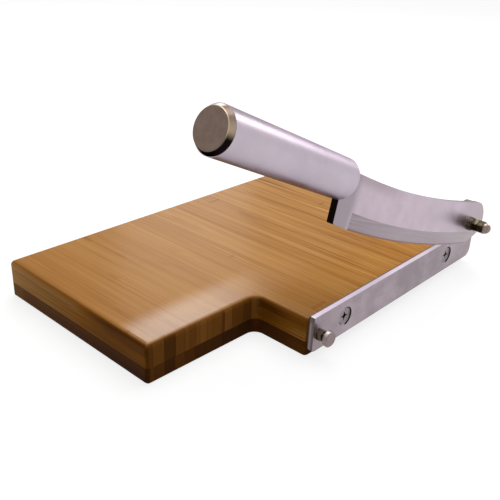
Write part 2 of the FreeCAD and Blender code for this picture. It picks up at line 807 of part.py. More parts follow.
# ---------------------------------------------------------------------------------------------
# Check and write one STEP file per sub-part
# ---------------------------------------------------------------------------------------------
doc.recompute()
for item in doc.Objects:
    if "Invalid" in item.State or "Error" in item.State:
        raise RuntimeError(f"{item.Name} failed: {item.State}")

os.makedirs("parts", exist_ok=True)
sub_parts = [item for item in doc.Objects if item.TypeId == "PartDesign::Body"]
for sub_part in sub_parts:
    shape = sub_part.Shape
    if shape.isNull() or not shape.isValid():
        raise RuntimeError(f"{sub_part.Label} has no valid shape")
for sub_part in sub_parts:
    sub_part.Shape.exportStep(f"parts/{sub_part.Label}.step")
    print(sub_part.Label, len(sub_part.Shape.Solids), round(sub_part.Shape.Volume, 1), sub_part.Shape.BoundBox)
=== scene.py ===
# %% [markdown] # A lever slicer and its finishes The object is a small guillotine for dried meat: a
# bowed steel blade with a tube handle swings on a rail at the edge of a notched bamboo board. Its
# solids come ready made, at their real size, so this lesson is mostly about finishes: oiled bamboo,
# satin steel, plated fasteners and a dull bronze cap.

import json
import math

import bmesh
import bpy
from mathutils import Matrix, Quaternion, Vector


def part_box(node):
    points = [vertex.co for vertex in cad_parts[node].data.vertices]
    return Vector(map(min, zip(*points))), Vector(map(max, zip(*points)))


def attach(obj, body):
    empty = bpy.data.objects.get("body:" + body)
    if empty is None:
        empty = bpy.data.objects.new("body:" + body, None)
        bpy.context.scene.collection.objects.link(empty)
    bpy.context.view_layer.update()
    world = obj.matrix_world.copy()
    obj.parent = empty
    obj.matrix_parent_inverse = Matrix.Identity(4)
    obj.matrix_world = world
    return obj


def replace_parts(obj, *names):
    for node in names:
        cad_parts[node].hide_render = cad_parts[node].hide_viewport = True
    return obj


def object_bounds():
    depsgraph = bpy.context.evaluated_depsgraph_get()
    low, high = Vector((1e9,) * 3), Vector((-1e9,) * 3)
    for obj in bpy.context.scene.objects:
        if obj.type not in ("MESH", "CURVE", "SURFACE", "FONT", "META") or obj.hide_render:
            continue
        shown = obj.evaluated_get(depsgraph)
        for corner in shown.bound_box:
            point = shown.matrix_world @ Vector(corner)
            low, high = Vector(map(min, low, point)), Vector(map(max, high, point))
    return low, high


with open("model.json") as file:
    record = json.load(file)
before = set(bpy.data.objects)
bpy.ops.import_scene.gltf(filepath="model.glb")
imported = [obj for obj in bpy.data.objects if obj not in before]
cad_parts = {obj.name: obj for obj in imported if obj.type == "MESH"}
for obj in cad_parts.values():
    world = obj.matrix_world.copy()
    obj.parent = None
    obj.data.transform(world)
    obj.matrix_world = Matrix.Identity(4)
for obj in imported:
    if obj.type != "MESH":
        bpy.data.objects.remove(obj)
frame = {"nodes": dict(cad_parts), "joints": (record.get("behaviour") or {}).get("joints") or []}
cad_low, cad_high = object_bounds()
MM = 0.001
print("solids:", sorted(frame["nodes"]))
print("box in mm:", [round(side / MM, 1) for side in cad_high - cad_low])

# %% [markdown]
# ## The camera
# A camera is a lens, a place, a direction and a roll. The lens is in millimetres on a 36 mm wide
# sensor. The direction is an azimuth round the object, 0 from the user's side and 90 from the rail's,
# and an elevation above the table. A camera could also track a target, but angles can be set one at a
# time: `to_track_quat` aims its -Z axis and keeps it level, and a turn about its own Z adds the roll.

# %% Lens
FOCAL_LENGTH = 50.395
SENSOR_WIDTH = 36.0
NEAREST, FARTHEST = 0.01, 50

camera_data = bpy.data.cameras.new("camera")
camera_data.lens = FOCAL_LENGTH
camera_data.sensor_width = SENSOR_WIDTH
camera_data.sensor_fit = "HORIZONTAL"
camera_data.clip_start = NEAREST
camera_data.clip_end = FARTHEST
print("the lens takes in", round(math.degrees(camera_data.angle), 1), "degrees")

# %% Camera
CAMERA_PLACE = Vector((347.5, -395.66, 277.45)) * MM
CAMERA_AZIMUTH, CAMERA_ELEVATION, CAMERA_ROLL = 41.79, 25.76, 2.52


def outwards(azimuth, elevation):
    """The direction from the object to a place round it, given two angles in degrees."""
    round_about, above = math.radians(azimuth), math.radians(elevation)
    return Vector((
        math.sin(round_about) * math.cos(above), -math.cos(round_about) * math.cos(above), math.sin(above)))


camera = bpy.data.objects.new("camera", camera_data)
camera.location = CAMERA_PLACE
camera.rotation_mode = "QUATERNION"
level = (-outwards(CAMERA_AZIMUTH, CAMERA_ELEVATION)).to_track_quat("-Z", "Y")
camera.rotation_quaternion = level @ Quaternion((0, 0, 1), math.radians(CAMERA_ROLL))
bpy.context.scene.collection.objects.link(camera)
bpy.context.scene.camera = camera
print("the camera stands", round(CAMERA_PLACE.length, 3), "m from the middle of the board's underside")

# %% [markdown]
# ## Arithmetic for shaders
# A procedural finish is mostly arithmetic: stretch this noise, darken that seam. Sums are hard to read
# in a node tree, and in code that adds it one node at a time, so a `Signal` wraps a socket and lets
# Python's own operators add the Math nodes. Its last three methods make masks, numbers from 0 to 1
# that say where something shows.


# %% Signal
class Signal:
    """A number that flows out of a node, which arithmetic can carry on."""

    def __init__(self, bench, socket):
        self.bench = bench
        self.socket = socket

    def _math(self, operation, *numbers):
        made = self.bench.node("ShaderNodeMath", {"operation": operation}, dict(enumerate(numbers)))
        return Signal(self.bench, made.outputs[0])

    def __add__(self, other):
        return self._math("ADD", self, other)

    def __sub__(self, other):
        return self._math("SUBTRACT", self, other)

    def __rsub__(self, other):
        return self._math("SUBTRACT", other, self)

    def __mul__(self, other):
        return self._math("MULTIPLY", self, other)

    def __truediv__(self, other):
        return self._math("DIVIDE", self, other)

    def __pow__(self, other):
        return self._math("POWER", self, other)

    def __abs__(self):
        return self._math("ABSOLUTE", self)

    __radd__ = __add__
    __rmul__ = __mul__

    def floor(self):
        return self._math("FLOOR", self)

    def fraction(self):
        return self._math("FRACT", self)

    def sine(self):
        return self._math("SINE", self)

    def root(self):
        return self._math("SQRT", self)

    def maximum(self, other):
        return self._math("MAXIMUM", self, other)

    def minimum(self, other):
        return self._math("MINIMUM", self, other)

    def between(self, low, high):
        """0 below low, 1 above high, with a soft step from one to the other."""
        made = self.bench.node(
            "ShaderNodeMapRange", {"interpolation_type": "SMOOTHSTEP"}, {0: self, 1: low, 2: high})
        return Signal(self.bench, made.outputs[0])

    def past(self, low, high):
        """The same for a place, with both ends in millimetres."""
        return self.between(low * MM, high * MM)

    def within(self, low, high, soft):
        """1 from low to high and 0 outside, with soft ends."""
        return self.between(low - soft, low) * (1 - self.between(high, high + soft))


print("a signal also knows:", [name for name in vars(Signal) if not name.startswith("_")])

# %% [markdown]
# ## Finishes
# A `Bench` builds a node tree. Its `node` method adds any node: settings first, because they can
# change the sockets, then values or links. A `Finish` is a bench round one Principled shader. It reads
# Object coordinates, which are metres on the solid itself, so a pattern needs no unwrapping and stays
# where it is when the blade swings. `across`, `along` and `up` are a point's place, and the `facing`
# signals say which way the surface looks there.


# %% Bench
class Bench:
    """A node tree in the making."""

    def __init__(self, tree):
        self.tree = tree

    def node(self, kind, settings=None, inputs=None):
        """Any node: its settings first, then values or links for its sockets."""
        made = self.tree.nodes.new(kind)
        for key, setting in (settings or {}).items():
            if key == "stops":
                self.fill_ramp(made.color_ramp, setting)
            else:
                setattr(made, key, setting)
        for key, value in (inputs or {}).items():
            self.feed(made.inputs[key], value)
        return made

    def fill_ramp(self, ramp, stops):
        """Give a colour ramp its stops, each a place and a colour."""
        while len(ramp.elements) < len(stops):
            ramp.elements.new(1)
        for element, (place, colour) in zip(ramp.elements, stops):
            element.position = place
            element.color = (*colour, 1)

    def feed(self, socket, value):
        """Link a signal or a socket into a socket, or set a plain value on it."""
        if isinstance(value, Signal):
            value = value.socket
        if isinstance(value, bpy.types.NodeSocket):
            self.tree.links.new(value, socket)
        elif isinstance(value, tuple) and len(value) == 3 and socket.type == "RGBA":
            socket.default_value = (*value, 1)
        else:
            socket.default_value = value


print("a bench is ready for the tree of a material or of the world")


# %% Finish
class Finish(Bench):
    """A material in the making, round one Principled shader."""

    def __init__(self, name):
        self.material = bpy.data.materials.new(name)
        self.material.use_nodes = True
        super().__init__(self.material.node_tree)
        self.shader = self.tree.nodes["Principled BSDF"]
        surface = self.node("ShaderNodeTexCoord").outputs
        self.place = surface["Object"]
        self.across, self.along, self.up = self.axes(self.place)
        self.facing_x, self.facing_y, self.facing_z = self.axes(surface["Normal"])

    def set(self, name, value):
        """Feed one socket of the Principled shader."""
        self.feed(self.shader.inputs[name], value)

    def axes(self, socket):
        """The three parts of a place or a direction."""
        parts = self.node("ShaderNodeSeparateXYZ", None, {0: socket})
        return [Signal(self, output) for output in parts.outputs]

    def noise(self, stretch, detail=2.0, roughness=0.5, shift=(0, 0, 0), turn=0.0):
        """Noise over the piece, counted in features per metre along each axis, turned about X."""
        turned = self.node("ShaderNodeMapping", None, {"Vector": self.place, "Rotation": (turn, 0, 0)})
        mapped = self.node(
            "ShaderNodeMapping", None, {"Vector": turned.outputs[0], "Scale": stretch, "Location": shift})
        made = self.node("ShaderNodeTexNoise", None, {
            "Vector": mapped.outputs[0], "Scale": 1.0, "Detail": detail, "Roughness": roughness})
        return Signal(self, made.outputs["Fac"])

    def mix(self, amount, first, second):
        """A colour between two others, by an amount from 0 to 1."""
        made = self.node("ShaderNodeMix", {"data_type": "RGBA"}, {"Factor": amount, 6: first, 7: second})
        return made.outputs[2]

    def coats(self, colour, *masked):
        """A colour with others laid over it in turn, each where its mask says."""
        for mask, coat in masked:
            colour = self.mix(mask, colour, coat)
        return colour

    def bump(self, heights, distance, strength):
        """A bump from a height signal; distance is the depth of a full step in metres."""
        made = self.node("ShaderNodeBump", None, {
            "Height": heights, "Distance": distance, "Strength": strength})
        self.set("Normal", made.outputs[0])


print("a finish feeds one shader from masks, noise and colours")

# %% [markdown]
# ## Colours and places
# Screens give a colour as three numbers from 0 to 255, but a shader wants the amount of light, which
# is not in proportion to them. `tint` turns one into the other. `wear` puts a finish on a ready-made
# solid through its material slots, which leaves its mesh as it is.


# %% Tint and wear
def tint(red, green, blue):
    """The light behind a colour of a screen."""
    return tuple(
        part / 255 / 12.92 if part <= 10 else ((part / 255 + 0.055) / 1.055) ** 2.4
        for part in (red, green, blue))


def wear(node_name, material):
    """Give a ready-made solid a finish."""
    solid = frame["nodes"][node_name]
    for slot in range(len(solid.data.materials)):
        solid.data.materials[slot] = material
    if not solid.data.materials:
        solid.data.materials.append(material)
    print(node_name, "wears", material.name)


print("mid bamboo is", [round(part, 3) for part in tint(190, 138, 80)])

# %% [markdown]
# ## Bamboo strips
# Each layer of the board is glued up from strips of uneven width that run across the board, along X.
# A picture of bamboo wrapped round it would break at every edge. Strips worked out from a point's
# place run on over the edges, as real ones do. Behind the nose, a strip is the Y divided by a mean
# width, rounded down, after two gentle sines have made the widths uneven. The strips that end on the
# nose show best, so they are laid one by one, as a list of places and tones, 0 dark to 1 light.

# %% Strips behind the nose
STRIP_WIDTH = 7.4 * MM
GLUE_LINE = 0.04
RAIL_LOW, RAIL_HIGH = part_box("cutting_rail")
BOARD_LOW, BOARD_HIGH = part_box("board_top_layer")
NOTCH_LINE = RAIL_LOW.y - 1 * MM


def scatter(finish, number):
    """An unpredictable tone from 0 to 1 for each whole number."""
    made = finish.node("ShaderNodeTexWhiteNoise", {"noise_dimensions": "1D"}, {"W": number})
    return Signal(finish, made.outputs["Value"])


def even_strips(wood, shift):
    """Tones and glue lines by a mean width; shift gives each layer its own."""
    count = wood.along / STRIP_WIDTH + shift
    quick_wave, slow_wave = (count * 1.7).sine(), (count * 0.61 + shift).sine()
    count = count + quick_wave * 0.3 + slow_wave * 0.4
    tone = scatter(wood, count.floor() + shift * 7)
    to_seam = 1 - abs(count.fraction() - 0.5) * 2
    return tone, 1 - to_seam.between(0.0, GLUE_LINE * 2)


print("strips behind the nose:", round((BOARD_HIGH.y - NOTCH_LINE) / STRIP_WIDTH))

# %% Strips on the nose
# Places in mm along the board and the tone of the strip that starts there; near the nose's corner and
# towards the notch the tones are darker as painted shade
UPPER_STRIPS = (
    (-170.0, 0.45), (-158.7, 0.62), (-148.9, 0.26), (-139.7, 0.60), (-131.6, 0.68), (-127.2, 0.58),
    (-121.9, 0.74), (-118.3, 0.86), (-112.0, 0.72), (-106.4, 0.66), (-97.5, 0.40), (-95.4, 0.78),
    (-88.0, 0.52), (-76.4, 0.38), (-69.5, 0.66))
LOWER_STRIPS = (
    (-170.0, 0.60), (-161.1, 0.86), (-157.0, 0.76), (-148.7, 0.46), (-140.3, 0.80), (-131.6, 0.66),
    (-122.7, 0.52), (-113.6, 0.54), (-107.0, 0.50), (-97.5, 0.32), (-88.0, 0.34), (-81.0, 0.24))


def listed_strips(wood, strips):
    """Tones and glue lines by a list: each strip changes the tone by its step from the last."""
    tone, seam, last_tone = 0.0, 0.0, 0.0
    for start, own_tone in strips:
        tone = wood.along.past(start - 0.1, start + 0.1) * (own_tone - last_tone) + tone
        seam = wood.along.within((start - 0.2) * MM, (start + 0.2) * MM, 0.2 * MM) + seam
        last_tone = own_tone
    return tone, seam


def lay_strips(wood, shift, strips):
    """Listed strips on the nose and even ones behind it."""
    on_nose = 1 - wood.along.between(NOTCH_LINE, NOTCH_LINE + 0.1 * MM)
    tone, seam = even_strips(wood, shift)
    nose_tone, nose_seam = listed_strips(wood, strips)
    wood.tone = tone + (nose_tone - tone) * on_nose
    wood.seam = seam + (nose_seam - seam) * on_nose


print("strips on the nose:", len(UPPER_STRIPS), "above and", len(LOWER_STRIPS), "below")

# %% [markdown]
# ## Bamboo grain
# Bamboo has no rings as wood has. Its fibres run straight along each strip, so its grain is noise that
# is stretched along X, from hairs to broad clouds, and on a cut end the same fibres are dots. Where
# the cane had a joint, a strip shows a short faint dash, and its tone decides where that is.

# %% Grain
# Features per metre along each axis
FIBRES, STREAKS, BANDS, CLOUDS = (16, 1300, 1300), (8, 620, 620), (6, 210, 210), (5, 30, 30)
DOTS, SPILLS = (300, 1500, 420), (13, 60, 60)


def draw_grain(wood, shift):
    """Fibres, streaks and bands along the strips, dots on the cut ends, stains and joints."""
    wood.fibres = wood.noise(FIBRES, detail=4, roughness=0.62, shift=(shift, shift, 0))
    wood.streaks = wood.noise(STREAKS, detail=3, roughness=0.65, shift=(shift, 2, shift))
    wood.bands = wood.noise(BANDS, detail=3, roughness=0.6, shift=(shift * 3, 0, 0))
    wood.clouds = wood.noise(CLOUDS, detail=2, shift=(0, shift * 5, 0))
    wood.dots = wood.noise(DOTS, detail=3, roughness=0.7, shift=(1, shift, 4))
    spilled = wood.noise(SPILLS, detail=4, roughness=0.6, shift=(9, shift, 2))
    wood.stains = spilled.between(0.58, 0.7)
    from_joint = abs((wood.across * 3.9 + wood.tone * 9.7).fraction() - 0.5)
    wood.joints = (1 - from_joint.between(0.001, 0.009)) * wood.tone.within(0.42, 0.56, 0.02)


print("fibres are about", round(1000 / FIBRES[1], 2), "mm wide and", round(1000 / FIBRES[0]), "mm long")

# %% [markdown]
# ## Bamboo shades
# Real bamboo shows a different face each way it is cut, so each kind of face gets its own shade, from 0
# dark to 1 light, before it gets its colours. On the top the strips hardly differ, and the grain is plain
# at the nose and lively towards the hinge. Cut ends soak up the oil, so there the strips show as light and
# dark blocks. The sides that run along the strips carry painted light and shade: they are palest at the
# left end and darken towards the nose's corner. They are paler again by the rail.

# %% Shade of the top
# The span in mm along the board over which the nose's painted shade fades out
PAINTED_NOSE_SHADE = (-160, -125)


def top_shade(wood):
    """The grain of the top and the underside, with a painted shade over the nose's end."""
    lively = wood.along.past(-90, 30) * 0.6 + wood.along.past(50, 120) * 0.7 + 0.55
    grain = (wood.streaks - 0.5) * 0.85 + (wood.bands - 0.5) * 0.45 + (wood.fibres - 0.5) * 0.45
    shade = grain * lively + (wood.tone - 0.5) * 0.16 + (wood.clouds - 0.5) * 0.35 + 0.52
    painted_nose_shade = 1 - wood.along.past(*PAINTED_NOSE_SHADE)
    return shade - wood.seam * 0.06 - wood.joints * 0.18 - wood.stains * 0.13 - painted_nose_shade * 0.1


print("the nose darkens over its last", round(PAINTED_NOSE_SHADE[1] - BOARD_LOW.y / MM), "mm")

# %% Shades of the cut ends and the sides
SIDE_DARKEST = 15 * MM


def end_shade(wood):
    """Blocks of tone where strips end, with dots and dark glue lines."""
    return wood.tone + (wood.dots - 0.5) * 0.22 - wood.seam * 0.22


def side_shade(wood, painted_light_end):
    """Grain along a side, with painted light at its left end and painted shade towards the nose's corner.
    """
    grain = (wood.bands - 0.5) * 0.7 + (wood.streaks - 0.5) * 0.6 + (wood.fibres - 0.5) * 0.4
    # Painted light and shade: the side is lighter at its left end and darkens from there, most at the
    # nose's corner
    painted_light_left = 1 - wood.across.past(-105, -86)
    painted_shade_corner = wood.across.past(-25, 20) * (wood.up.past(17, 26) * 0.3 + 0.14)
    by_rail = wood.across.past(70, 100)
    shade = grain + 0.47 - wood.across.minimum(SIDE_DARKEST) * 3.2
    return shade + painted_light_left * painted_light_end - painted_shade_corner + by_rail * 0.32


print("the sides darken from the left over", round((SIDE_DARKEST - BOARD_LOW.x) / MM), "mm")

# %% [markdown]
# ## Bamboo colours and oil
# A ramp turns each shade into colours, from dark to light, and masks choose the face: which way it looks
# tells a cut end from a side. The top carries a painted shadow by the notch, where the meat lay, and
# rounded edges are one brown, partly rubbed and partly painted shade. One recipe makes both layers, and a
# dictionary holds what differs: how much painted light lifts the sides' left end, and `hollow` the colour
# of the notch's inner corner. Oil shines only where it lies, so the coat's weight carries it: strong on the
# nose, weak behind it, and rubbed off beside the notch.

# %% Two layers
LONG_STOPS = (0.0, 0.4, 0.75, 1.0)
CUT_STOPS = (0.0, 0.5, 1.0)
EDGE_BROWN = tint(104, 58, 16)

upper = {
    "shift": 0.37, "strips": UPPER_STRIPS, "painted_light_end": 0.06, "hollow": tint(150, 98, 40),
    "long": (tint(122, 70, 20), tint(180, 120, 50), tint(208, 152, 80), tint(230, 182, 112)),
    "end": (tint(62, 32, 9), tint(134, 83, 29), tint(178, 118, 52)),
    "side": (tint(108, 60, 10), tint(174, 110, 30), tint(246, 186, 116))}
lower = {
    "shift": 3.81, "strips": LOWER_STRIPS, "painted_light_end": 0.8, "hollow": EDGE_BROWN,
    "long": (tint(84, 46, 14), tint(116, 70, 24), tint(146, 94, 36), tint(168, 116, 56)),
    "end": (tint(50, 24, 9), tint(92, 52, 19), tint(132, 80, 30)),
    "side": (tint(66, 30, 0), tint(98, 52, 4), tint(146, 96, 44))}
darker = lower["long"][1][0] / upper["long"][1][0]
print("the lower layer's grain has", round(darker, 2), "of the upper's red")


# %% Colours of the bamboo
def ramp(finish, amount, places, colours):
    """A colour looked up by a number."""
    stops = list(zip(places, colours))
    return finish.node("ShaderNodeValToRGB", {"stops": stops}, {0: amount}).outputs[0]


def edge_colour(wood, hollow):
    """One brown on level edges, darker on upright ones, except in the hollow of the notch."""
    upright = wood.mix(wood.along.past(-85, -75), tint(62, 32, 18), hollow)
    return wood.mix(abs(wood.facing_z).between(0.1, 0.4), upright, EDGE_BROWN)


def colour_bamboo(wood, layer):
    """The colours of every face, chosen by where it looks."""
    turned_x, turned_y, turned_z = abs(wood.facing_x), abs(wood.facing_y), abs(wood.facing_z)
    wood.cut_end = turned_x.between(0.5, 0.85)
    side = turned_y.between(0.5, 0.85)
    rounded = (1 - turned_x.maximum(turned_y).maximum(turned_z)).between(0.01, 0.2)
    # Painted shadow: the top beside the notch is darker, where the meat lay and shaded it
    painted_meat_shadow = wood.across.past(20, 95) * (1 - wood.along.past(-75, 40))
    wood.set("Base Color", wood.coats(
        ramp(wood, top_shade(wood), LONG_STOPS, layer["long"]),
        (painted_meat_shadow * 0.55, tint(122, 76, 26)),
        (side, ramp(wood, side_shade(wood, layer["painted_light_end"]), CUT_STOPS, layer["side"])),
        (wood.cut_end, ramp(wood, end_shade(wood), CUT_STOPS, layer["end"])),
        # Rounded edges: a rubbed brown, laid on more strongly as painted shade
        (rounded * 0.42, edge_colour(wood, layer["hollow"]))))


print("the edges' brown is", [round(part, 3) for part in EDGE_BROWN])

# %% Oil on the bamboo
OIL_ROUGHNESS = 0.2
BARE_SHINE = 0.03
FIBRE_DEPTH = 0.1 * MM


def oil_bamboo(wood):
    """Gloss on the level faces, and relief from fibres, glue lines and joints."""
    rubbed = wood.across.past(45, 80) * wood.along.past(-75, -50)
    ragged = wood.along + wood.bands * 24 * MM
    oily = wood.across.past(20, 40) * (1 - ragged.past(-140, 10))
    gloss = (0.08 + wood.bands * 0.12 + oily * 0.72) * (1 - rubbed * 0.9)
    wood.set("Coat Weight", abs(wood.facing_z).between(0.8, 1.0) * gloss)
    wood.set("Coat Roughness", OIL_ROUGHNESS)
    wood.set("Specular IOR Level", BARE_SHINE)
    wood.set("Roughness", 0.4 + wood.fibres * 0.16 + wood.cut_end * 0.16)
    relief = wood.fibres * 0.4 + wood.streaks * 0.2 - wood.seam * 0.5 - wood.joints
    wood.bump(relief, FIBRE_DEPTH, 0.4)


for node_name, layer in (("board_top_layer", upper), ("board_bottom_layer", lower)):
    bamboo = Finish("bamboo_" + node_name.split("_")[1])
    lay_strips(bamboo, layer["shift"], layer["strips"])
    draw_grain(bamboo, layer["shift"])
    colour_bamboo(bamboo, layer)
    oil_bamboo(bamboo)
    wear(node_name, bamboo.material)

# %% [markdown]
# ## Satin steel
# The rail, blade and tube are stainless steel with a fine satin finish. Metal has no colour of its own
# under the shine, so the finish is all in its reflection: a rough mirror whose roughness wanders a
# little, with hair-fine scratches in the bump that follow the way each piece was rubbed. Anisotropic
# gloss would stretch the highlights too, but it needs a direction for every point of the mesh, and
# stretched noise doesn't. Every metal carries its colour, its dullness and its relief, so the next
# cells can work marks into them before `put_on` feeds them to the shader.

# %% Satin steel
SATIN_DEPTH = 0.02 * MM


def satin_steel(name, bright, dim, scratch, roughness, turn=0.0):
    """Stainless steel rubbed one way; scratch gives the noise's features per metre along each axis."""
    steel = Finish(name)
    hairs = steel.noise(scratch, detail=3, roughness=0.65, turn=turn)
    clouds = steel.noise((26, 26, 26), detail=3, roughness=0.6)
    smears = steel.noise((60, 75, 95), detail=4, roughness=0.62, shift=(2, 5, 1), turn=turn)
    tone = clouds * 0.5 + smears * 0.35 + hairs * 0.15
    steel.colour = steel.mix(tone.between(0.36, 0.64), dim, bright)
    steel.dull = clouds * 0.14 + smears * 0.10 + hairs * 0.10 + (roughness - 0.17)
    steel.relief = (hairs, SATIN_DEPTH, 0.4)
    return steel


def put_on(metal, *node_names):
    """Feed a metal its colour, dullness and relief, and put it on ready-made solids."""
    metal.set("Metallic", 1.0)
    metal.set("Base Color", metal.colour)
    metal.set("Roughness", metal.dull)
    metal.bump(*metal.relief)
    for node_name in node_names:
        wear(node_name, metal.material)


print("satin scratches are", round(SATIN_DEPTH / MM, 3), "mm deep")

# %% Tube and plug
GRIP_LENGTH = 90 * MM
GRIP_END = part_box("handle_tube")[0].y

tube_steel = satin_steel("tube_steel", tint(200, 189, 200), tint(188, 176, 188), (260, 1500, 500), 0.35)
tube_steel.set("Specular Tint", (0.45, 0.41, 0.44, 1))
grip_wear_and_shade = 1 - tube_steel.along.between(GRIP_END, GRIP_END + GRIP_LENGTH)
# Painted shade: the tube is darker over the grip by the cap, and its lower roughness there is wear from
# hands
tube_steel.colour = tube_steel.mix(grip_wear_and_shade * 0.35, tube_steel.colour, tint(178, 165, 176))
tube_steel.dull = tube_steel.dull - grip_wear_and_shade * 0.02
put_on(tube_steel, "handle_tube")
plug_steel = satin_steel("plug_steel", tint(160, 148, 152), tint(140, 128, 132), (900, 900, 900), 0.42)
put_on(plug_steel, "handle_front_plug")

# %% [markdown]
# ## The blade
# The blade's flats were polished and its bevel was ground across the edge, so the bevel is greyer and its
# scratches run the other way. Each area could be a material on its own faces, but a mask can end softly
# where no edge of the mesh is. Which way a point faces tells the bevel from the flats, and places are
# measured from the pivot along the raised blade: `reach` towards the handle and `rise` towards the spine.
# The honed strip follows the edge, which is an arc, so a point's depth above it is the arc's radius less
# the distance to its centre; its brown is a painted reflection of the board. Spine and heel keep the dark
# skin of the cut plate, painted darker still as a reflection of a dark room, nearly black at the heel.

# %% Places on the blade
PIVOT = Vector(frame["joints"][0]["pos_m"])
REST_ANGLE = math.radians(21)
EDGE_CENTRE_REACH = 98.12 * MM
EDGE_CENTRE_RISE = 949.85 * MM
EDGE_RADIUS = 975 * MM


def distance(first, second):
    """How far a point is from a centre, given its two offsets."""
    return (first * first + second * second).root()


blade_steel = satin_steel(
    "blade_steel", tint(196, 180, 192), tint(182, 166, 178), (900, 70, 1400), 0.34, turn=REST_ANGLE)
towards_user = PIVOT.y - blade_steel.along
above_pivot = blade_steel.up - PIVOT.z
reach = towards_user * math.cos(REST_ANGLE) + above_pivot * math.sin(REST_ANGLE)
rise = above_pivot * math.cos(REST_ANGLE) - towards_user * math.sin(REST_ANGLE)
edge_depth = EDGE_RADIUS - distance(reach - EDGE_CENTRE_REACH, rise - EDGE_CENTRE_RISE)
print("the edge bows about a centre", round(EDGE_CENTRE_RISE, 3), "m above the pivot's line")

# %% Areas of the blade
HONED = 1.2 * MM

ground = blade_steel.facing_x.between(0.5, 0.7) * (1 - blade_steel.facing_x.between(0.955, 0.985))
honed = (1 - edge_depth.between(HONED * 0.8, HONED * 1.2)) * ground
cut_skin = 1 - abs(blade_steel.facing_x).between(0.35, 0.6)
ricasso = reach.past(188, 200) * (1 - ground)
by_hinge = 1 - reach.past(10, 34)
by_spine = edge_depth.past(27, 36) * reach.past(120, 170)
print("the honed strip is", round(HONED / MM, 1), "mm wide")

# %% Colours of the blade
grind_lines = blade_steel.noise((200, 18, 900), detail=4, roughness=0.6, turn=REST_ANGLE)
bevel_dim = blade_steel.mix(reach.past(110, 185), tint(154, 141, 147), tint(132, 119, 124))
bevel_colour = blade_steel.mix(grind_lines.between(0.1, 0.9), bevel_dim, tint(166, 153, 160))
# Cut faces: a dark as-cut skin, darkened further as painted reflection, nearly black at the heel
skin_and_reflection_colour = blade_steel.mix(reach.past(170, 190), tint(88, 77, 76), tint(14, 8, 6))
blade_steel.colour = blade_steel.coats(
    blade_steel.colour,
    (ricasso * 0.85, tint(146, 135, 142)),
    (by_hinge * 0.5, tint(156, 142, 148)),
    (by_spine * 0.7, tint(156, 142, 150)),
    (ground, bevel_colour),
    # Painted reflection: the honed strip is brown, as if it mirrored the board
    (honed * 0.9, tint(126, 88, 80)),
    (cut_skin, skin_and_reflection_colour))
put_on(blade_steel, "blade")

# %% [markdown]
# ## The rail
# The rail is satin on its outer face. The blade wipes its top, which is painted brightest between about 40
# and 80 mm along the board, as a reflection.
# Its sawn end is dull, lighter towards its back as a painted highlight and darker at its top, and a dark
# line of painted shade runs where it meets the board. Round each of the two screws, the far side of its
# cone is painted nearly black as shade, half a ring round the screw's axis. All of it is marks on one
# steel, laid over each other as coats, the last on top.

# %% Cones round the screws
SCREW_HEAD = 6.1 * MM
CONE_START, CONE_END = 6.7 * MM, 7.4 * MM

screws_low, screws_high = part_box("rail_screws")
screw_height = (screws_low.z + screws_high.z) / 2
SCREW_PLACES = (screws_low.y + SCREW_HEAD, screws_high.y - SCREW_HEAD)

rail_steel = satin_steel("rail_steel", tint(168, 155, 162), tint(140, 127, 133), (900, 90, 1500), 0.36)
# Painted shade: the far side of each screw's cone is darkened
cone_shade = 0.0
for screw_place in SCREW_PLACES:
    from_screw = distance(rail_steel.along - screw_place, rail_steel.up - screw_height)
    far_side = rail_steel.along.between(screw_place - 1 * MM, screw_place + 2 * MM)
    cone_shade = from_screw.within(CONE_START, CONE_END, 0.2 * MM) * far_side + cone_shade
cone_shade = cone_shade.minimum(1) * (1 - rail_steel.facing_x.between(0.85, 0.95))
print("screws stand at", [round(place / MM, 1) for place in SCREW_PLACES], "mm along the board")

# %% Areas of the rail
RAIL_BACK, RAIL_FACE = RAIL_LOW.x, RAIL_HIGH.x

sawn_end = abs(rail_steel.facing_y).between(0.5, 0.8)
near_end_reflection = 1 - rail_steel.along.past(-60, -20)
wiped_top = rail_steel.facing_z.between(0.7, 0.9)
reflection_band = rail_steel.along.within(40 * MM, 80 * MM, 25 * MM)
lug_top = rail_steel.facing_z.between(0.2, 0.5) * rail_steel.up.past(38, 42)
gap_shade = 1 - rail_steel.across.between(RAIL_BACK + 0.6 * MM, RAIL_BACK + 1.3 * MM)
print("the rail is", round((RAIL_FACE - RAIL_BACK) / MM, 1), "mm thick")

# %% Colours of the rail
# The sawn end: a painted highlight makes it lighter towards its back, and it is darker at its top
end_colour_and_highlight = rail_steel.coats(
    rail_steel.mix(
        rail_steel.across.between(RAIL_BACK + 1.2 * MM, RAIL_FACE - 1 * MM),
        tint(130, 116, 118), tint(92, 78, 76)),
    (rail_steel.up.past(26, 30) * 0.7, tint(88, 80, 64)))
rail_steel.colour = rail_steel.coats(
    rail_steel.colour,
    # Painted reflection: the face is darker towards the near end, as if it mirrored the meat
    (near_end_reflection * 0.4, tint(128, 115, 120)),
    (sawn_end, end_colour_and_highlight),
    # The wiped top, with a painted reflection brightest in the band
    (wiped_top, rail_steel.mix(reflection_band, tint(186, 173, 186), tint(208, 193, 208))),
    (lug_top, tint(112, 102, 100)),
    # Painted shade in the gap where the rail meets the board
    (gap_shade * 0.85, tint(52, 38, 30)),
    # Painted shade in the screws' cones
    (cone_shade, tint(34, 27, 26)))
put_on(rail_steel, "cutting_rail")

# %% [markdown]
# ## Plated fasteners
# The nuts, bolts and washers are plated, and their dark colour is a painted reflection of a dark room. The
# sides that look up carry a painted highlight, and so do turned cone faces, which look partly outwards.
# Specks of wear roughen the plate. One recipe with other colours serves them all, so they look like parts
# from one bag. The dome nut carries a painted highlight on the outer side of its cap and a painted dark
# reflection on its hexagon.

# %% Plating
SPECKS = (700, 700, 700)
SPECK_DEPTH = 0.02 * MM


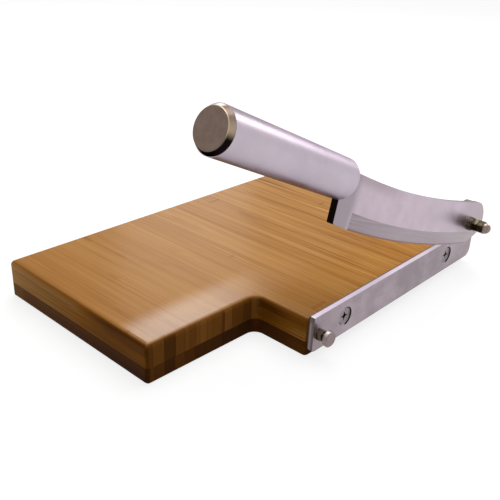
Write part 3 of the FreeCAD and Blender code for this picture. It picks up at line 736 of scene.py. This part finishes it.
def plated(name, bright, dim, highlight_tone, roughness):
    """Dark plating, a painted reflection: a smooth mirror with specks, with a painted highlight where it
    looks up.
    """
    plate = Finish(name)
    plate.specks = plate.noise(SPECKS, detail=3)
    plate.colour = plate.coats(
        plate.mix(plate.specks.between(0.35, 0.65), dim, bright),
        # Painted highlights where the plate looks up and on turned cone faces
        (plate.facing_z.between(0.55, 0.9) * (0.5 + plate.specks), highlight_tone),
        (plate.facing_x.within(0.82, 0.9, 0.03) * 0.5, highlight_tone))
    plate.dull = roughness + plate.specks * 0.1
    plate.relief = (plate.specks, SPECK_DEPTH, 0.3)
    return plate


print("specks of wear are about", round(1000 / SPECKS[0], 1), "mm wide")

# %% Hinge hardware
dark_plate = plated("dark_plate", tint(60, 50, 36), tint(28, 22, 12), tint(92, 84, 68), 0.14)
put_on(dark_plate, "pivot_bolt", "pivot_nut")
washer_plate = plated("washer_plate", tint(118, 106, 92), tint(58, 48, 36), tint(160, 148, 134), 0.16)
put_on(
    washer_plate,
    "pivot_head_washer", "blade_spacer_washer", "pivot_outer_washer", "pivot_spring_washer")

# %% Plating of the dome nut
DOME_NUT_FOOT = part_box("pivot_dome_nut")[0].x
DOME_NUT_HEXAGON = 5.5 * MM

dome_plate = plated("dome_plate", tint(136, 122, 114), tint(120, 106, 96), tint(150, 138, 132), 0.10)
hexagon_end = DOME_NUT_FOOT + DOME_NUT_HEXAGON
on_dome = dome_plate.across.between(hexagon_end - 0.1 * MM, hexagon_end + 0.3 * MM)
# Painted highlight on the cap's outer side, and a painted dark reflection on the hexagon
highlight_side = dome_plate.facing_y.between(-0.1, 0.5)
cap_with_highlight = dome_plate.mix(highlight_side, dome_plate.colour, tint(190, 180, 178))
dark_hexagon = dome_plate.mix(dome_plate.specks.between(0.3, 0.9), tint(40, 32, 22), tint(96, 84, 68))
dome_plate.colour = dome_plate.mix(on_dome, dark_hexagon, cap_with_highlight)
put_on(dome_plate, "pivot_dome_nut")

# %% [markdown]
# ## The stop bolt and the screws
# A round-headed bolt and its nut stop the blade's heel. The short length of thread that shows between rail
# and head is a bump: a sine along the bolt, with the pitch of its thread. The screws' heads have a cross
# recess, painted nearly black as the shade inside it. Its outline is a four-pointed star: the two offsets
# from the middle are raised to a power below 1 and added, and a lower power would make the star sharper.

# %% Stop bolt and nut
stop_low, stop_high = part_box("stop_nut")
stop_centre = (stop_low + stop_high) / 2
THREAD_PITCH = 0.8 * MM
THREAD_DEPTH = 0.3 * MM
SHANK_EDGE = 2.6 * MM

nut_plate = plated("nut_plate", tint(96, 86, 68), tint(70, 60, 44), tint(136, 124, 106), 0.16)
put_on(nut_plate, "stop_nut")
stop_plate = plated("stop_plate", tint(140, 124, 124), tint(120, 105, 104), tint(180, 166, 166), 0.26)
from_axis = distance(stop_plate.along - stop_centre.y, stop_plate.up - stop_centre.z)
on_shank = 1 - from_axis.between(SHANK_EDGE, SHANK_EDGE + 0.2 * MM)
threads = (stop_plate.across * (2 * math.pi / THREAD_PITCH)).sine() * on_shank
stop_plate.relief = (threads + stop_plate.specks * 0.05, THREAD_DEPTH, 0.8)
put_on(stop_plate, "stop_bolt")

# %% Screw heads
RECESS_REACH = 3.4 * MM
STAR_POWER = 0.667

screw_plate = plated("screw_plate", tint(150, 138, 142), tint(124, 112, 114), tint(150, 138, 142), 0.28)
recess = 1 - screw_plate.across.between(RAIL_FACE - 1.3 * MM, RAIL_FACE - 1.08 * MM)
for screw_place in SCREW_PLACES:
    sideways = abs(screw_plate.along - screw_place) / RECESS_REACH
    upright = abs(screw_plate.up - screw_height) / RECESS_REACH
    star = sideways ** STAR_POWER + upright ** STAR_POWER
    recess = recess.maximum(1 - star.between(0.95, 1.1))
# Painted shade: the cross recess is nearly black
screw_plate.colour = screw_plate.mix(recess, screw_plate.colour, tint(16, 11, 11))
put_on(screw_plate, "rail_screws")

# %% [markdown]
# ## Nuts with turned corners
# A nut starts as a round blank, turned on a lathe with a 30 degree cone at each end. Then its six flats
# are milled, and where a flat cuts a cone it leaves an arc. A bevelled hexagon would miss those arcs,
# so the three nuts are remade in the real order: a profile is spun about X, and a plane cuts each
# flat. The sizes are measured on the ready-made nuts, which the new ones replace.

# %% Turning
ROUND_STEPS = 72
THREAD_SPARE = 0.05 * MM
CROWN_SHARE = 0.475
BLANK_SPARE = 1.02
MERGE_WITHIN = 0.0001 * MM


def measured(node_name):
    """A nut's foot on its axis, its width across the flats and its height, to a thousandth of a mm."""
    low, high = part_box(node_name)
    foot = Vector((low.x, (low.y + high.y) / 2, (low.z + high.z) / 2))
    return foot, round(high.y - low.y, 6), round(high.x - low.x, 6)


def nut_profile(size, across_flats, height):
    """Half of a nut's section, as places along X and radii, from its bore round to its bore."""
    bore = size / 2 + THREAD_SPARE
    crown = across_flats * CROWN_SHARE
    blank = across_flats / math.sqrt(3) * BLANK_SPARE
    cone = (blank - crown) / math.sqrt(3)
    return [(0, bore), (0, crown), (cone, blank), (height - cone, blank), (height, crown), (height, bore)]


def turned(profile, closed):
    """A profile spun once round the X axis."""
    form = bmesh.new()
    corners = [form.verts.new((along, 0, radius)) for along, radius in profile]
    following = corners[1:] + corners[:1] if closed else corners[1:]
    edges = [form.edges.new(pair) for pair in zip(corners, following)]
    bmesh.ops.spin(
        form, geom=corners + edges, axis=(1, 0, 0), cent=(0, 0, 0),
        angle=2 * math.pi, steps=ROUND_STEPS, use_merge=True)
    bmesh.ops.remove_doubles(form, verts=form.verts, dist=MERGE_WITHIN)
    return form


print("the pivot's nut is", round(measured("pivot_nut")[1] / MM, 2), "mm across its flats")

# %% Milling and fitting
FLATS = 6
CUT_WITHIN = 0.00001 * MM
CRISP_ANGLE = math.radians(20)


def mill_flats(form, across_flats):
    """Cut the flats and close each cut."""
    for side in range(FLATS):
        angle = math.radians(360 / FLATS * side)
        flat_way = Vector((0, math.cos(angle), math.sin(angle)))
        cut = bmesh.ops.bisect_plane(
            form, geom=[*form.verts, *form.edges, *form.faces], dist=CUT_WITHIN,
            plane_co=flat_way * across_flats / 2, plane_no=flat_way, clear_outer=True)
        rim = [part for part in cut["geom_cut"] if isinstance(part, bmesh.types.BMEdge)]
        bmesh.ops.holes_fill(form, edges=rim, sides=0)


def fitted_nut(form, name, foot, material):
    """Stand a form on its foot, with crisp edges and a finish, as a piece of the base."""
    bmesh.ops.translate(form, verts=form.verts, vec=foot)
    bmesh.ops.recalc_face_normals(form, faces=form.faces)
    for face in form.faces:
        face.smooth = True
    for edge in form.edges:
        edge.smooth = edge.calc_face_angle(0) < CRISP_ANGLE
    mesh = bpy.data.meshes.new(name)
    form.to_mesh(mesh)
    form.free()
    mesh.materials.append(material)
    piece = bpy.data.objects.new(name, mesh)
    bpy.context.scene.collection.objects.link(piece)
    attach(piece, "base")
    print(name, "has", len(mesh.polygons), "faces")
    return piece


print("edges stay crisp from", round(math.degrees(CRISP_ANGLE)), "degrees")

# %% Plain nuts
PIVOT_THREAD = 6 * MM
STOP_THREAD = 5 * MM

foot, across_flats, height = measured("pivot_nut")
pivot_form = turned(nut_profile(PIVOT_THREAD, across_flats, height), True)
mill_flats(pivot_form, across_flats)
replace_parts(fitted_nut(pivot_form, "pivot_nut_bevelled", foot, dark_plate.material), "pivot_nut")

foot, across_flats, height = measured("stop_nut")
stop_form = turned(nut_profile(STOP_THREAD, across_flats, height), True)
mill_flats(stop_form, across_flats)
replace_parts(fitted_nut(stop_form, "stop_nut_bevelled", foot, nut_plate.material), "stop_nut")

# %% [markdown]
# ## The dome nut
# The dome nut is one piece of metal, so it is one turned form too, where a ball set on a nut would
# leave a seam. Its profile starts at the end of a blind bore, follows a hexagon nut's without the last
# point, and goes on over a half-round cap to the tip. The cap's steps turn less than the crisp angle,
# so it shades smooth and the hexagon doesn't.

# %% Dome nut
DOME_RADIUS = 4.75 * MM
DOME_STEP = 10
BORE_DEPTH = 8 * MM

foot, across_flats, dome_tip = measured("pivot_dome_nut")
dome_middle = dome_tip - DOME_RADIUS
cap_part = [
    (dome_middle + DOME_RADIUS * math.sin(angle), DOME_RADIUS * math.cos(angle))
    for angle in [math.radians(degrees) for degrees in range(0, 90, DOME_STEP)]]
blind_bore = [(BORE_DEPTH, 0), (BORE_DEPTH, PIVOT_THREAD / 2 + THREAD_SPARE)]
hexagon_part = nut_profile(PIVOT_THREAD, across_flats, DOME_NUT_HEXAGON)[:-1]
dome_form = turned(blind_bore + hexagon_part + cap_part + [(dome_tip, 0)], False)
mill_flats(dome_form, across_flats)
dome_nut = fitted_nut(dome_form, "pivot_dome_nut_smooth", foot, dome_plate.material)
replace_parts(dome_nut, "pivot_dome_nut")

# %% [markdown]
# ## The handle's cap
# A flat plug with a turned, tapering rim closes the tube. Its face is a dull bronze tone and its rim is
# brighter, with a thin painted highlight where the two meet. The rim also carries painted light: a grey
# patch and a white highlight where it looks up, and a near-black painted reflection underneath. A rim's
# areas could be picked by their place, but which way they face is simpler on a turned piece. The cap leans
# with the handle, so its own outward and upward directions are turned from the board's.

# %% Areas of the cap
HANDLE_TILT = math.radians(3.77)
CAP_TILT = REST_ANGLE + HANDLE_TILT

cap = Finish("bronze_cap")
spots = cap.noise((260, 260, 260), detail=4, roughness=0.6)
facing_out = cap.facing_z * math.sin(CAP_TILT) - cap.facing_y * math.cos(CAP_TILT)
facing_up = cap.facing_z * math.cos(CAP_TILT) + cap.facing_y * math.sin(CAP_TILT)
under = (0 - facing_up).between(-0.15, 0.22)
rightwards = cap.facing_x.between(-0.1, 0.3)
face = facing_out.between(0.9, 0.97)
edge_highlight = facing_out.within(0.62, 0.8, 0.05) * (1 - under * 0.6)
print("the cap leans", round(math.degrees(CAP_TILT), 1), "degrees")

# %% Bronze
SPOT_DEPTH = 0.03 * MM

face_colour = cap.mix(spots.between(0.3, 0.7), tint(114, 97, 87), tint(124, 107, 97))
cap.colour = cap.coats(
    cap.mix(spots, tint(150, 130, 108), tint(172, 152, 130)),
    # Painted light on the rim: a grey patch and a white highlight where it looks up, and a near-black
    # painted reflection underneath
    (facing_up.between(0.2, 0.7) * rightwards, tint(112, 98, 90)),
    (facing_up.between(0.4, 0.9) * (1 - rightwards), tint(226, 216, 208)),
    (under, tint(20, 13, 12)),
    (face, face_colour),
    # Painted highlight along the edge of the face
    (edge_highlight * 0.6, tint(186, 172, 150)))
cap.dull = 0.24 + face * 0.2 + spots * 0.1
cap.relief = (spots, SPOT_DEPTH, 0.3)
cap.set("Specular Tint", (0.3, 0.26, 0.24, 1))
put_on(cap, "handle_end_cap")

# %% [markdown]
# ## Floor and sky
# The floor is a wide pale sheet that keeps the object's shadow. More lamps could make it white, but
# they would bleach the object as well. Instead the floor and the sky look white to the camera and in
# reflections and give little light: Light Path tells the rays that look from those that carry light.

# %% Floor
FLOOR_GREY = 0.30
FLOOR_GLOW = 0.80
FLOOR_REACH = 6
FLOOR_GAP = 0.2 * MM

floor_form = bmesh.new()
bmesh.ops.create_grid(floor_form, x_segments=1, y_segments=1, size=FLOOR_REACH)
bmesh.ops.translate(floor_form, verts=floor_form.verts, vec=(0, 0, cad_low.z - FLOOR_GAP))
floor_mesh = bpy.data.meshes.new("floor")
floor_form.to_mesh(floor_mesh)
floor_form.free()
floor = bpy.data.objects.new("floor", floor_mesh)
bpy.context.scene.collection.objects.link(floor)
print("the floor is", 2 * FLOOR_REACH, "m wide")


# %% Paper
def looking(bench, *ray_names):
    """1 for the rays that look, by their names on Light Path, and 0 for the others."""
    rays = bench.node("ShaderNodeLightPath").outputs
    seen = 0.0
    for name in ray_names:
        seen = Signal(bench, rays[name]).maximum(seen)
    return seen


paper = Finish("floor_paper")
paper.set("Base Color", (FLOOR_GREY, FLOOR_GREY, FLOOR_GREY))
paper.set("Roughness", 0.9)
seen = looking(paper, "Is Camera Ray", "Is Glossy Ray", "Is Transmission Ray")
paper.set("Emission Color", paper.mix(seen, (0, 0, 0), (1, 1, 1)))
paper.set("Emission Strength", FLOOR_GLOW)
floor_mesh.materials.append(paper.material)
print("the floor adds a glow of", FLOOR_GLOW, "for rays that look")

# %% Sky
SKY_LIGHT = 0.26
SKY_SEEN = 1.0

world = bpy.data.worlds.new("studio")
world.use_nodes = True
bpy.context.scene.world = world
sky = Bench(world.node_tree)
background = world.node_tree.nodes["Background"].inputs
background["Color"].default_value = (1, 1, 1, 1)
seen = looking(sky, "Is Camera Ray", "Is Glossy Ray")
sky.feed(background["Strength"], seen * (SKY_SEEN - SKY_LIGHT) + SKY_LIGHT)
print("the sky lights the object with", SKY_LIGHT)

# %% [markdown]
# ## Lamps
# One broad lamp hangs overhead, one stands like a window behind the board to the left and puts the
# gloss on it, and one far behind the pivot draws the bright band along the tube. Flat lamps give soft
# shadows and clean shapes in the metal, which small ones don't. A lamp's radiance is how bright it
# looks, 1 for white paper, and its power is that times its area and pi.

# %% Lamps
# Name, azimuth and elevation in degrees, distance, width and height in metres, and radiance
LAMPS = (
    ("overhead", 200, 74, 1.7, 1.3, 1.3, 2.7),
    ("window", 230, 30, 1.6, 0.4, 0.9, 3.4),
    ("back", 174, 25, 1.8, 0.7, 0.4, 4.1))

for name, azimuth, elevation, away, width, height, radiance in LAMPS:
    towards = outwards(azimuth, elevation)
    lamp_data = bpy.data.lights.new(name, "AREA")
    lamp_data.shape = "RECTANGLE"
    lamp_data.size = width
    lamp_data.size_y = height
    lamp_data.energy = radiance * math.pi * width * height
    lamp = bpy.data.objects.new(name, lamp_data)
    lamp.location = towards * away
    lamp.rotation_mode = "QUATERNION"
    lamp.rotation_quaternion = (-towards).to_track_quat("-Z", "Y")
    bpy.context.scene.collection.objects.link(lamp)
    on_table = radiance * width * height / away**2 * towards.z / math.pi
    print(name, "gives the table a level of", round(on_table, 2))

bpy.context.scene.view_settings.view_transform = "Standard"
